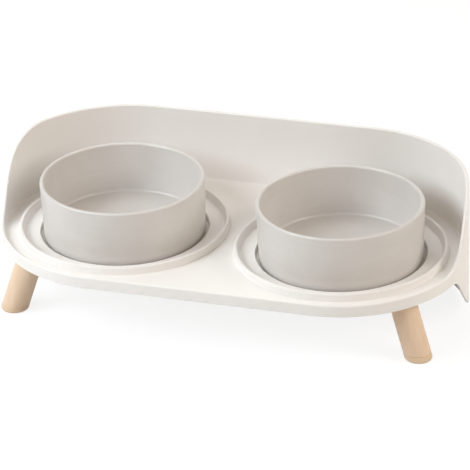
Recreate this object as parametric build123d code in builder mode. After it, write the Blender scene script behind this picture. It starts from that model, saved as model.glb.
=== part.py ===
from build123d import *
import os
from math import cos, hypot, radians, sin, tan

# Raised double pet bowl: a moulded tray with a splash wall, two loose bowls and two splayed front legs.
# Millimetres, +Z up. The origin is on the ground, in the middle of the tray's length and depth.
# +X runs along the row of bowls and +Y towards the back of the splash wall.

# Bowl
bowl_rim_radius = 65.0
bowl_taper = 1.5
bowl_height = 48.0
bowl_rim_thickness = 3.4
bowl_foot_wall = 4.2
bowl_floor_thickness = 7.0
bowl_rim_round = 1.5
bowl_base_round = 5.0
bowl_floor_round = 2.0
foot_ring_width = 9.0
foot_ring_depth = 2.2
foot_ring_round = 0.8

# Well that each bowl stands in, with a gap all round the bowl's base
well_gap = 3.0
well_depth = 5.1
well_wall = 2.6
well_plate = 2.6
well_round = 0.8

# Raised ring round each well
ring_gap = 15.0
ring_rise = 6.0
ring_top_width = 2.4
ring_inner_slope = 2.3
ring_outer_slope = 0.8
ring_round = 1.0

# Plan of the tray: the floor left between the two rings, and from a ring's middle to the tray's faces
ring_spacing_gap = 10.0
end_margin = 17.0
front_margin = 9.0

# Heights: the tray floor above the ground, and the rim above or below the tray floor
tray_floor_height = 54.3
wall_rise = 61.2
lip_front_rise = 0.3
lip_corner_rise = 5.0
skirt_front_drop = 9.3
skirt_notch_drop = 5.0

# Side view of the shell: where its upper edge climbs and its lower edge falls, from the bowl line,
# and how the lower edge slopes from that fall to the flat heel at the back
climb_foot_lead = 17.5
climb_crown_lag = 17.5
climb_foot_round = 32.0
climb_crown_round = 60.0
fall_notch_lead = 18.5
fall_foot_lag = 12.7
fall_notch_round = 12.0
fall_foot_round = 81.0
foot_rise = 4.9
heel_width = 8.5
heel_round = 100.0

# Thickness of the shell, which is thinner below its floor
wall = 3.0
skirt_wall = 1.8
rim_round = 1.2
hem_round = 0.6
floor_plate = 2.6
cove_round = 2.0

# Leg: its top is beside the well, on a bearing forwards of straight out
leg_radius = 10.4
leg_bearing_degrees = 38.6
leg_splay_out_degrees = 18.05
leg_splay_front_degrees = 8.1
leg_top_drop = 10.0
leg_top_chamfer = 0.6

# Pad under the leg, cut level below and above
pad_height = 5.5
pad_round = 2.0
seam_chamfer = 0.5

# Boss, threaded insert and hanger bolt that hold the leg
boss_radius = 11.0
insert_radius = 4.25
insert_length = 6.5
insert_wall = 5.1
insert_end_gap = 1.0
stud_radius = 3.0
stud_screw_radius = 2.6
stud_screw_length = 20.0
stud_tip_length = 3.0
stud_tip_radius = 0.8
stud_chamfer = 0.5
fit_clearance = 0.05
screw_end_gap = 0.5

# Length by which every cut runs past the material, and how far an upright face may lean
overrun = 2.0
upright_share = 0.01

# Derived sizes and places
bowl_base_radius = bowl_rim_radius - bowl_taper
well_radius = bowl_base_radius + well_gap
ring_radius = well_radius + ring_gap
ring_inner_top = ring_radius - ring_top_width / 2
ring_outer_top = ring_radius + ring_top_width / 2
ring_inner_base = ring_inner_top - ring_inner_slope
ring_outer_base = ring_outer_top + ring_outer_slope
ring_top = tray_floor_height + ring_rise
bowl_spacing = 2 * ring_outer_base + ring_spacing_gap
end_reach = ring_radius + end_margin
front_reach = ring_radius + front_margin
bowl_line = (front_reach - end_reach) / 2
tray_front = bowl_line - front_reach
tray_back = bowl_line + end_reach
tray_end = bowl_spacing / 2 + end_reach
wall_top = tray_floor_height + wall_rise
floor_level = (tray_floor_height, tray_floor_height)
floor_underside = tray_floor_height - floor_plate
floor_middle = tray_floor_height - floor_plate / 2
seat_height = tray_floor_height - well_depth
leg_top_height = tray_floor_height - leg_top_drop
leg_top_reach = well_radius + well_wall + insert_wall + insert_radius
leg_slope = hypot(tan(radians(leg_splay_out_degrees)), tan(radians(leg_splay_front_degrees)))
stud_machine_length = insert_length - insert_end_gap
sides = {"left": -1, "right": 1}


def bowl_axis_point(side):
    """Point on a bowl's axis, on the ground."""
    return (side * bowl_spacing / 2, bowl_line, 0)


def upright_plane(side):
    """Upright plane through a bowl's axis: first coordinate the radius, second the height."""
    return Plane(origin=bowl_axis_point(side), x_dir=(1, 0, 0), z_dir=(0, -1, 0))


def bowl_axis(side):
    """A bowl's axis."""
    return Axis(bowl_axis_point(side), (0, 0, 1))


def tray_plan(inset):
    """Plan of the tray: straight front and back, elliptical front corners and round back corners."""
    corner = (bowl_spacing / 2, bowl_line)
    reach = end_reach - inset
    front = front_reach - inset
    with BuildSketch() as plan:
        with BuildLine():
            Line((0, bowl_line - front), (bowl_spacing / 2, bowl_line - front))
            EllipticalCenterArc(corner, reach, front, start_angle=270, arc_size=90)
            CenterArc(corner, reach, 0, 90)
            Line((bowl_spacing / 2, bowl_line + reach), (0, bowl_line + reach))
            mirror(about=Plane.YZ)
        make_face()
    return plan.sketch


def leg_direction(side):
    """Unit vector up a leg's axis."""
    inward = -side * tan(radians(leg_splay_out_degrees))
    backward = tan(radians(leg_splay_front_degrees))
    return Vector(inward, backward, 1).normalized()


def leg_point(side, height):
    """Point on a leg's axis at a height above the ground."""
    outward = side * leg_top_reach * cos(radians(leg_bearing_degrees))
    forward = leg_top_reach * sin(radians(leg_bearing_degrees))
    top = Vector(*bowl_axis_point(side)) + Vector(outward, -forward, leg_top_height)
    direction = leg_direction(side)
    return top + direction * ((height - leg_top_height) / direction.Z)


def leg_plane(side, height):
    """Plane square to a leg's axis at a height above the ground."""
    return Plane(origin=leg_point(side, height), x_dir=(0, 1, 0), z_dir=leg_direction(side))


os.makedirs("parts", exist_ok=True)

# Tray shell: one moulding with its skirt, splash wall, rings, wells and leg bosses
with BuildPart() as tray_shell:
    # Upright band round the tray, cut to its side view
    with BuildSketch():
        add(tray_plan(0))
        add(tray_plan(wall), mode=Mode.SUBTRACT)
    extrude(amount=wall_top)
    with BuildSketch():
        add(tray_plan(skirt_wall))
    extrude(amount=floor_underside, mode=Mode.SUBTRACT)
    with BuildSketch(Plane.YZ):
        with BuildLine():
            FilletPolyline(
                (tray_front - overrun, tray_floor_height + lip_front_rise),
                (bowl_line - climb_foot_lead, tray_floor_height + lip_corner_rise),
                (bowl_line + climb_crown_lag, wall_top),
                (tray_back + overrun, wall_top),
                (tray_back + overrun, 0),
                (tray_back - heel_width, 0),
                (bowl_line + fall_foot_lag, foot_rise),
                (bowl_line - fall_notch_lead, tray_floor_height - skirt_notch_drop),
                (tray_front - overrun, tray_floor_height - skirt_front_drop),
                radius=(
                    0,
                    climb_foot_round,
                    climb_crown_round,
                    0,
                    0,
                    heel_round,
                    fall_foot_round,
                    fall_notch_round,
                    0,
                ),
                close=True,
            )
        make_face()
    extrude(amount=tray_end + overrun, both=True, mode=Mode.INTERSECT)
    upright = faces().filter_by(lambda face: abs(face.normal_at().Z) < upright_share)
    upward = faces().filter_by(lambda face: face.normal_at().Z > upright_share)
    fillet(upright.edges() & upward.edges(), radius=rim_round)
    upright = faces().filter_by(lambda face: abs(face.normal_at().Z) < upright_share)
    low = faces().filter_by_position(Axis.Z, -overrun, floor_underside - hem_round)
    downward = low.filter_by(lambda face: face.normal_at().Z < -upright_share)
    fillet(upright.edges() & downward.edges(), radius=hem_round)

    # Floor plate, let into the band
    with BuildSketch(Plane.XY.offset(floor_underside)):
        add(tray_plan(wall / 2))
    extrude(amount=floor_plate)
    fillet(edges().filter_by_position(Axis.Z, *floor_level), radius=cove_round)

    # Cup of each well, and each leg's boss with its slanted end
    with BuildSketch(Plane.XY.offset(seat_height - well_plate)):
        with Locations(*[bowl_axis_point(side) for side in sides.values()]):
            Circle(well_radius + well_wall)
    extrude(amount=well_depth + well_plate)
    for side in sides.values():
        with BuildSketch(Plane.XY.offset(floor_underside)):
            with Locations((leg_point(side, leg_top_height).X, leg_point(side, leg_top_height).Y)):
                Circle(boss_radius)
        extrude(amount=leg_top_height - boss_radius * leg_slope - floor_underside)
        with BuildSketch(leg_plane(side, leg_top_height)):
            Circle(boss_radius + overrun)
        extrude(amount=-leg_top_height, mode=Mode.SUBTRACT)
        with BuildSketch(leg_plane(side, leg_top_height)):
            Circle(insert_radius + fit_clearance)
        extrude(amount=insert_length, mode=Mode.SUBTRACT)

    # Wells and rings
    with BuildSketch(Plane.XY.offset(seat_height)):
        with Locations(*[bowl_axis_point(side) for side in sides.values()]):
            Circle(well_radius)
    extrude(amount=well_depth + overrun, mode=Mode.SUBTRACT)
    circles = edges().filter_by(GeomType.CIRCLE).filter_by_position(Axis.Z, *floor_level)
    fillet(circles.filter_by(lambda circle: circle.radius < ring_radius), radius=well_round)
    for side in sides.values():
        with BuildSketch(upright_plane(side)):
            with BuildLine():
                FilletPolyline(
                    (ring_inner_base, floor_middle),
                    (ring_inner_base, tray_floor_height),
                    (ring_inner_top, ring_top),
                    (ring_outer_top, ring_top),
                    (ring_outer_base, tray_floor_height),
                    (ring_outer_base, floor_middle),
                    radius=(0, 0, ring_round, ring_round, 0, 0),
                    close=True,
                )
            make_face()
        revolve(axis=bowl_axis(side))
tray_shell.part.label = "tray_shell"
export_step(tray_shell.part, "parts/tray_shell.step")

# Bowls: straight-sided, slightly tapered, each on a foot ring
for name, side in sides.items():
    with BuildPart() as bowl:
        with BuildSketch(upright_plane(side)):
            with BuildLine():
                FilletPolyline(
                    (0, seat_height + foot_ring_depth),
                    (bowl_base_radius - foot_ring_width, seat_height + foot_ring_depth),
                    (bowl_base_radius - foot_ring_width, seat_height),
                    (bowl_base_radius, seat_height),
                    (bowl_rim_radius, seat_height + bowl_height),
                    (bowl_rim_radius - bowl_rim_thickness, seat_height + bowl_height),
                    (bowl_base_radius - bowl_foot_wall, seat_height + bowl_floor_thickness),
                    (0, seat_height + bowl_floor_thickness),
                    radius=(
                        0,
                        foot_ring_round,
                        foot_ring_round,
                        bowl_base_round,
                        bowl_rim_round,
                        bowl_rim_round,
                        bowl_floor_round,
                        0,
                    ),
                    close=True,
                )
            make_face()
        revolve(axis=bowl_axis(side))
    bowl.part.label = f"bowl_{name}"
    export_step(bowl.part, f"parts/bowl_{name}.step")

# Legs, pads and their fixings
seam = Plane.XY.offset(pad_height)
for name, side in sides.items():
    top = leg_plane(side, leg_top_height)
    leg_length = (leg_point(side, leg_top_height) - leg_point(side, 0)).length

    with BuildPart() as leg:
        with BuildSketch(top):
            Circle(leg_radius)
        extrude(amount=-(leg_length + leg_radius))
        chamfer(faces().sort_by(Axis.Z)[-1].edges(), length=leg_top_chamfer)
        split(bisect_by=seam, keep=Keep.TOP)
        chamfer(faces().sort_by(Axis.Z)[0].edges(), length=seam_chamfer)
        with BuildSketch(top):
            Circle(stud_screw_radius + fit_clearance)
        extrude(amount=-(stud_screw_length + screw_end_gap), mode=Mode.SUBTRACT)
    leg.part.label = f"leg_{name}"
    export_step(leg.part, f"parts/leg_{name}.step")

    with BuildPart() as foot_pad:
        with BuildSketch(leg_plane(side, -leg_radius)):
            Circle(leg_radius)
        extrude(amount=leg_length)
        split(bisect_by=seam, keep=Keep.BOTTOM)
        split(bisect_by=Plane.XY, keep=Keep.TOP)
        fillet(faces().sort_by(Axis.Z)[0].edges(), radius=pad_round)
        chamfer(faces().sort_by(Axis.Z)[-1].edges(), length=seam_chamfer)
    foot_pad.part.label = f"foot_pad_{name}"
    export_step(foot_pad.part, f"parts/foot_pad_{name}.step")

    with BuildPart() as leg_insert:
        with BuildSketch(top):
            Circle(insert_radius)
            Circle(stud_radius + fit_clearance, mode=Mode.SUBTRACT)
        extrude(amount=insert_length)
    leg_insert.part.label = f"leg_insert_{name}"
    export_step(leg_insert.part, f"parts/leg_insert_{name}.step")

    with BuildPart() as leg_stud:
        with BuildSketch(top):
            Circle(stud_radius)
        extrude(amount=stud_machine_length)
        chamfer(faces().sort_by(Axis.Z)[-1].edges(), length=stud_chamfer)
        with BuildSketch(top):
            Circle(stud_screw_radius)
        extrude(amount=-(stud_screw_length - stud_tip_length))
        with BuildSketch(top.offset(stud_tip_length - stud_screw_length)):
            Circle(stud_screw_radius)
        with BuildSketch(top.offset(-stud_screw_length)):
            Circle(stud_tip_radius)
        loft()
    leg_stud.part.label = f"leg_stud_{name}"
    export_step(leg_stud.part, f"parts/leg_stud_{name}.step")
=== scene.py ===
import math

import bpy
from mathutils import Matrix, Vector

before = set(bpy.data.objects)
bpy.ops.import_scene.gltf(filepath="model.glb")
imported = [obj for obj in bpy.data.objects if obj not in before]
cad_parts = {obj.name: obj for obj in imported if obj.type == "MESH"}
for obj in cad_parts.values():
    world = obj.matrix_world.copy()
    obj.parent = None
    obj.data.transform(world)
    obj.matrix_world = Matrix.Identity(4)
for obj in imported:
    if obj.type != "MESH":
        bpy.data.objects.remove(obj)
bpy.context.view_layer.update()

MM = 0.001
WHITE = (1.0, 1.0, 1.0, 1.0)

# Part of a noise's range that colours and roughness are spread over
NOISE_LOW = 0.3
NOISE_HIGH = 0.7

# Colour sockets of a Mix node, whose names repeat
MIX_FIRST = 6
MIX_SECOND = 7
MIX_RESULT = 2

# Lean of the legs, which the wood grain follows
SPLAY_OUT = math.radians(18.05)
SPLAY_FRONT = math.radians(8.1)

# Camera at the photograph's viewing angle
FRAME_PIXELS = 470
FOCAL_PIXELS = 2936.98
SENSOR_MM = 36.0
CAMERA_AZIMUTH = math.radians(18.39)
CAMERA_ELEVATION = math.radians(27.083)
CAMERA_ROLL = math.radians(-2.075)
CAMERA_DISTANCE = 2290.26 * MM
CAMERA_TARGET = Vector((2.65, -4.0, 57.57)) * MM
CAMERA_CLIP = (0.05, 50.0)

# Floor: half its width, and the distances over which it fades to plain white, in metres
FLOOR_HALF = 6.0
FADE_START = 0.35
FADE_END = 1.2

# Floor: the paint that lights the object, and the shade and glow that are seen
FLOOR_PAINT = 0.80
FLOOR_SHADE = 0.22
FLOOR_GLOW = 0.84

# Light from the surroundings
WORLD_STRENGTH = 0.26
WORLD_TINT = (1.0, 0.77, 0.5)

# Soft panels: name, azimuth and elevation in degrees, size in metres, watts and tint
LIGHT_DISTANCE = 1.5
LIGHT_AIM_HEIGHT = 0.06
LIGHTS = (
    ("key", -60, 35, (0.7, 0.7), 11.7, (0.86, 0.94, 1.0)),
    ("front", -30, 35, (0.7, 0.7), 6.4, (0.80, 0.90, 1.0)),
    ("side", 87, 31, (0.7, 0.9), 9.8, (1.0, 0.98, 0.95)),
    ("back", -150, 60, (0.7, 0.7), 5.0, (0.87, 0.96, 1.0)),
)


def srgb(red, green, blue):
    """A colour given in 8-bit sRGB, as linear values by the sRGB curve."""
    def linear(value):
        share = value / 255
        return share / 12.92 if share <= 0.04045 else ((share + 0.055) / 1.055) ** 2.4
    return (linear(red), linear(green), linear(blue), 1.0)


def grey(level):
    """A neutral colour of a linear level."""
    return (level, level, level, 1.0)


# Shader nodes

def new_material(name):
    """A material and its Principled shader."""
    material = bpy.data.materials.new(name)
    material.use_nodes = True
    nodes = material.node_tree.nodes
    nodes.clear()
    output = nodes.new("ShaderNodeOutputMaterial")
    shader = nodes.new("ShaderNodeBsdfPrincipled")
    link(material, shader.outputs["BSDF"], output.inputs["Surface"])
    return material, shader


def link(owner, source, target):
    """Joins two sockets of a material or world."""
    owner.node_tree.links.new(source, target)


def object_coordinates(material, scale=(1, 1, 1), rotation=(0, 0, 0)):
    """Object coordinates in metres, turned and stretched."""
    nodes = material.node_tree.nodes
    coordinates = nodes.new("ShaderNodeTexCoord")
    mapping = nodes.new("ShaderNodeMapping")
    mapping.inputs["Rotation"].default_value = rotation
    mapping.inputs["Scale"].default_value = scale
    link(material, coordinates.outputs["Object"], mapping.inputs["Vector"])
    return mapping.outputs["Vector"]


def noise(material, vector, scale, detail, roughness=0.5, distortion=0.0):
    """Noise pattern, with its scale in cells per unit of the vector."""
    node = material.node_tree.nodes.new("ShaderNodeTexNoise")
    node.inputs["Scale"].default_value = scale
    node.inputs["Detail"].default_value = detail
    node.inputs["Roughness"].default_value = roughness
    node.inputs["Distortion"].default_value = distortion
    link(material, vector, node.inputs["Vector"])
    return node.outputs["Fac"]


def ramp(material, factor, stops):
    """Colour ramp through (place, colour) stops."""
    node = material.node_tree.nodes.new("ShaderNodeValToRGB")
    elements = node.color_ramp.elements
    while len(elements) < len(stops):
        elements.new(1.0)
    for element, (place, colour) in zip(elements, stops):
        element.position = place
        element.color = colour
    link(material, factor, node.inputs["Fac"])
    return node.outputs["Color"]


def two_tone(material, factor, dark, light):
    """Colour ramp between two colours over the main part of a noise."""
    return ramp(material, factor, [(NOISE_LOW, dark), (NOISE_HIGH, light)])


def span(material, factor, low, high, start=NOISE_LOW, end=NOISE_HIGH):
    """Maps a factor from start..end to low..high."""
    node = material.node_tree.nodes.new("ShaderNodeMapRange")
    node.inputs["From Min"].default_value = start
    node.inputs["From Max"].default_value = end
    node.inputs["To Min"].default_value = low
    node.inputs["To Max"].default_value = high
    link(material, factor, node.inputs["Value"])
    return node.outputs["Result"]


def blend_in(material, factor, base, colour):
    """Blends a plain colour into a base by a factor."""
    node = material.node_tree.nodes.new("ShaderNodeMix")
    node.data_type = "RGBA"
    link(material, factor, node.inputs["Factor"])
    link(material, base, node.inputs[MIX_FIRST])
    node.inputs[MIX_SECOND].default_value = colour
    return node.outputs[MIX_RESULT]


def bump(material, height, strength, distance):
    """Normal of a surface raised by a height."""
    node = material.node_tree.nodes.new("ShaderNodeBump")
    node.inputs["Strength"].default_value = strength
    node.inputs["Distance"].default_value = distance
    link(material, height, node.inputs["Height"])
    return node.outputs["Normal"]


def finish(material, shader, colour, rough, normal):
    """Gives a shader its colour, roughness and normal."""
    link(material, colour, shader.inputs["Base Color"])
    link(material, rough, shader.inputs["Roughness"])
    link(material, normal, shader.inputs["Normal"])
    return material


# Materials

def tray_plastic():
    """Off-white moulded plastic with a fine satin grain and a faint unevenness of colour."""
    material, shader = new_material("tray_plastic")
    place = object_coordinates(material)
    cloud = noise(material, place, scale=14.0, detail=2.0)
    grain = noise(material, place, scale=1700.0, detail=2.0, roughness=0.6)
    colour = two_tone(material, cloud, dark=srgb(241, 237, 233), light=srgb(244, 240, 237))
    rough = span(material, grain, low=0.40, high=0.52)
    normal = bump(material, grain, strength=0.10, distance=0.06 * MM)
    return finish(material, shader, colour, rough, normal)


def bowl_glaze():
    """Smooth warm-grey glaze with a soft cloudiness and faint turning lines."""
    material, shader = new_material("bowl_glaze")
    place = object_coordinates(material)
    turned = object_coordinates(material, scale=(0.04, 0.04, 1.0))
    cloud = noise(material, place, scale=32.0, detail=3.0, roughness=0.55)
    lines = noise(material, turned, scale=380.0, detail=2.0)
    base = two_tone(material, cloud, dark=srgb(212, 207, 203), light=srgb(218, 213, 209))
    line_share = span(material, lines, low=0.0, high=0.10, start=0.40, end=0.70)
    colour = blend_in(material, line_share, base, srgb(196, 188, 179))
    rough = span(material, cloud, low=0.29, high=0.34)
    normal = bump(material, lines, strength=0.05, distance=0.04 * MM)
    return finish(material, shader, colour, rough, normal)


def leg_wood(name, rotation):
    """Pale beech with fine grain lines and short flecks along the leg."""
    material, shader = new_material(name)
    along = object_coordinates(material, scale=(1.0, 1.0, 0.06), rotation=rotation)
    fleck_place = object_coordinates(material, scale=(1.0, 1.0, 0.16), rotation=rotation)
    streak = noise(material, along, scale=260.0, detail=4.0, roughness=0.6, distortion=0.4)
    broad = noise(material, along, scale=70.0, detail=2.0)
    fleck = noise(material, fleck_place, scale=1500.0, detail=1.0)
    base = ramp(material, streak, [
        (0.30, srgb(231, 202, 174)),
        (0.52, srgb(235, 207, 180)),
        (0.72, srgb(238, 212, 186)),
    ])
    tint_share = span(material, broad, low=0.0, high=0.30, start=0.35, end=0.70)
    tinted = blend_in(material, tint_share, base, srgb(229, 199, 170))
    fleck_share = span(material, fleck, low=0.0, high=0.20, start=0.62, end=0.74)
    colour = blend_in(material, fleck_share, tinted, srgb(211, 178, 146))
    rough = span(material, streak, low=0.46, high=0.60)
    normal = bump(material, streak, strength=0.15, distance=0.1 * MM)
    return finish(material, shader, colour, rough, normal)


def pad_rubber():
    """Beige anti-slip pad with a dull, fine grain."""
    material, shader = new_material("pad_rubber")
    place = object_coordinates(material)
    grain = noise(material, place, scale=1300.0, detail=3.0, roughness=0.65)
    colour = two_tone(material, grain, dark=srgb(227, 198, 168), light=srgb(234, 206, 177))
    rough = span(material, grain, low=0.62, high=0.80)
    normal = bump(material, grain, strength=0.2, distance=0.08 * MM)
    return finish(material, shader, colour, rough, normal)


def metal(name, dark, light):
    """Turned metal with fine drawn lines."""
    material, shader = new_material(name)
    place = object_coordinates(material, scale=(1.0, 1.0, 6.0))
    lines = noise(material, place, scale=700.0, detail=2.0, roughness=0.6)
    shader.inputs["Metallic"].default_value = 1.0
    colour = two_tone(material, lines, dark, light)
    rough = span(material, lines, low=0.26, high=0.40)
    normal = bump(material, lines, strength=0.1, distance=0.05 * MM)
    return finish(material, shader, colour, rough, normal)


def dress(node, material):
    """Gives a CAD node its material."""
    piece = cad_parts[node]
    piece.data.materials.clear()
    piece.data.materials.append(material)


def dress_nodes():
    """Gives every CAD node its material, with the grain of each leg along the leg."""
    plastic = tray_plastic()
    glaze = bowl_glaze()
    pad = pad_rubber()
    steel = metal("stud_steel", dark=srgb(150, 150, 152), light=srgb(186, 186, 188))
    brass = metal("insert_brass", dark=srgb(176, 146, 86), light=srgb(205, 176, 110))
    dress("tray_shell", plastic)
    for side_name, side in (("left", -1), ("right", 1)):
        axis = Vector((-side * math.tan(SPLAY_OUT), math.tan(SPLAY_FRONT), 1.0)).normalized()
        turn = axis.rotation_difference(Vector((0, 0, 1))).to_euler()
        dress(f"bowl_{side_name}", glaze)
        dress(f"leg_{side_name}", leg_wood(f"leg_wood_{side_name}", tuple(turn)))
        dress(f"foot_pad_{side_name}", pad)
        dress(f"leg_stud_{side_name}", steel)
        dress(f"leg_insert_{side_name}", brass)


# Camera, floor, surroundings and lights

def direction(azimuth, elevation):
    """Unit vector from the object, its azimuth counted from the front towards +X."""
    return Vector((
        math.cos(elevation) * math.sin(azimuth),
        -math.cos(elevation) * math.cos(azimuth),
        math.sin(elevation),
    ))


def add_object(name, data):
    """A new object in the scene."""
    added = bpy.data.objects.new(name, data)
    bpy.context.scene.collection.objects.link(added)
    return added


def place_camera():
    """Camera that looks at its target, turned by its roll."""
    data = bpy.data.cameras.new("camera")
    data.sensor_width = SENSOR_MM
    data.lens = SENSOR_MM * FOCAL_PIXELS / FRAME_PIXELS
    data.clip_start, data.clip_end = CAMERA_CLIP
    camera = add_object("camera", data)
    back = direction(CAMERA_AZIMUTH, CAMERA_ELEVATION)
    level = (-back).cross(Vector((0, 0, 1))).normalized()
    upright = level.cross(-back).normalized()
    right = math.cos(CAMERA_ROLL) * level + math.sin(CAMERA_ROLL) * upright
    up = -math.sin(CAMERA_ROLL) * level + math.cos(CAMERA_ROLL) * upright
    matrix = Matrix((right, up, back)).transposed().to_4x4()
    matrix.translation = CAMERA_TARGET + back * CAMERA_DISTANCE
    camera.matrix_world = matrix
    bpy.context.scene.camera = camera


def ray_kinds(owner, *kinds):
    """1 for rays of the named kinds, and 0 for all others."""
    nodes = owner.node_tree.nodes
    path = nodes.new("ShaderNodeLightPath")
    result = path.outputs[kinds[0]]
    for kind in kinds[1:]:
        larger = nodes.new("ShaderNodeMath")
        larger.operation = "MAXIMUM"
        link(owner, result, larger.inputs[0])
        link(owner, path.outputs[kind], larger.inputs[1])
        result = larger.outputs[0]
    return result


def plain_shader(owner, kind, colour, strength=None):
    """Diffuse, emission or background shader of one colour."""
    node = owner.node_tree.nodes.new(kind)
    node.inputs["Color"].default_value = colour
    if strength is not None:
        node.inputs["Strength"].default_value = strength
    return node.outputs[0]


def mix_shaders(owner, factor, first, second):
    """The first shader where the factor is 0, the second where it is 1."""
    node = owner.node_tree.nodes.new("ShaderNodeMixShader")
    link(owner, factor, node.inputs[0])
    link(owner, first, node.inputs[1])
    link(owner, second, node.inputs[2])
    return node.outputs[0]


def make_floor():
    """Wide pale floor that keeps the object's shadow and turns plain white further out."""
    half = FLOOR_HALF
    mesh = bpy.data.meshes.new("floor")
    corners = [(-half, -half, 0), (half, -half, 0), (half, half, 0), (-half, half, 0)]
    mesh.from_pydata(corners, [], [(0, 1, 2, 3)])
    floor = add_object("floor", mesh)
    material = bpy.data.materials.new("floor_white")
    material.use_nodes = True
    nodes = material.node_tree.nodes
    nodes.clear()
    output = nodes.new("ShaderNodeOutputMaterial")
    paint = plain_shader(material, "ShaderNodeBsdfDiffuse", grey(FLOOR_PAINT))
    shade = plain_shader(material, "ShaderNodeBsdfDiffuse", grey(FLOOR_SHADE))
    glow = plain_shader(material, "ShaderNodeEmission", WHITE, FLOOR_GLOW)
    near = nodes.new("ShaderNodeAddShader")
    link(material, shade, near.inputs[0])
    link(material, glow, near.inputs[1])
    far = plain_shader(material, "ShaderNodeEmission", WHITE, 1.0)
    place = nodes.new("ShaderNodeTexCoord")
    reach = nodes.new("ShaderNodeVectorMath")
    reach.operation = "LENGTH"
    link(material, place.outputs["Object"], reach.inputs[0])
    fade = span(material, reach.outputs["Value"], low=0.0, high=1.0, start=FADE_START, end=FADE_END)
    seen = mix_shaders(material, fade, near.outputs[0], far)
    rays = ray_kinds(material, "Is Camera Ray", "Is Glossy Ray")
    link(material, mix_shaders(material, rays, paint, seen), output.inputs["Surface"])
    mesh.materials.append(material)


def make_world():
    """Even surroundings that light the object softly and are seen as plain white."""
    world = bpy.data.worlds.new("surroundings")
    bpy.context.scene.world = world
    world.use_nodes = True
    nodes = world.node_tree.nodes
    nodes.clear()
    output = nodes.new("ShaderNodeOutputWorld")
    light = plain_shader(world, "ShaderNodeBackground", (*WORLD_TINT, 1.0), WORLD_STRENGTH)
    plain = plain_shader(world, "ShaderNodeBackground", WHITE, 1.0)
    rays = ray_kinds(world, "Is Camera Ray", "Is Transmission Ray", "Is Glossy Ray")
    link(world, mix_shaders(world, rays, light, plain), output.inputs["Surface"])


def studio_light(name, azimuth, elevation, size, power, tint):
    """Soft panel aimed at the tray."""
    outward = direction(math.radians(azimuth), math.radians(elevation))
    data = bpy.data.lights.new(name, "AREA")
    data.shape = "RECTANGLE"
    data.size, data.size_y = size
    data.energy = power
    data.color = tint
    lamp = add_object(name, data)
    lamp.location = Vector((0.0, 0.0, LIGHT_AIM_HEIGHT)) + outward * LIGHT_DISTANCE
    lamp.rotation_euler = (-outward).to_track_quat("-Z", "Y").to_euler()


dress_nodes()
place_camera()
make_floor()
make_world()
for light in LIGHTS:
    studio_light(*light)

bpy.context.scene.view_settings.view_transform = "Standard"
